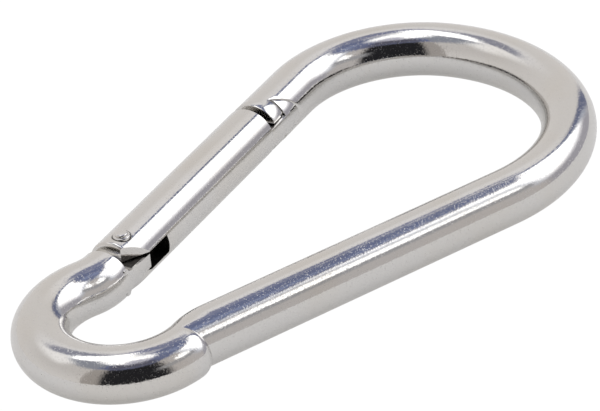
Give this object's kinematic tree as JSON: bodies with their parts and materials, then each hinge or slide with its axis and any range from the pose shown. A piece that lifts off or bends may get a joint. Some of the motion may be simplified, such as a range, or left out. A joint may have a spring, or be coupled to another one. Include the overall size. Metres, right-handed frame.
{
  "type": "spring snap hook",
  "caption": "Gourd-shaped round-bar spring snap hook with a small eye, a large bow and a sprung riveted gate that latches behind the nose.",
  "frame": {"origin": "middle of the hook's outline, at the underside of the hinge rivet, with the hook lying flat", "axes": "+X along the hook from the small eye to the large bow, +Y towards the gate, +Z square to the hook's plane"},
  "size_m": [0.165, 0.0872, 0.0149],
  "materials": {
    "bar_steel": "bright zinc-plated, polished",
    "gate_steel": "bright zinc-plated, polished",
    "rivet_steel": "bright zinc-plated, pressed head",
    "spring_steel": "drawn spring wire",
    "plunger_steel": "turned steel"
  },
  "bodies": {
    "hook": {"hook_body": "bar_steel"},
    "gate": {"gate": "gate_steel", "hinge_rivet": "rivet_steel", "gate_spring": "spring_steel"},
    "plunger": {"spring_plunger": "plunger_steel"}
  },
  "joints": [
    {"name": "gate_hinge", "type": "hinge", "parent": "hook", "child": "gate", "pos_m": [-0.03884, 0.01825, 0.00745], "axis": [0, 0, -1], "range_deg": [0, 40], "stiffness_Nm_per_rad": 0.6, "springref_deg": -45.84},
    {"name": "plunger_slide", "type": "slide", "parent": "gate", "child": "plunger", "axis": [0.974, 0.2267, 0], "range_m": [0, 0.0022], "deforming": ["gate_spring"]}
  ],
  "couplings": [
    {"joint": "plunger_slide", "follows": "gate_hinge", "m_per_rad": 0.0031481}
  ]
}
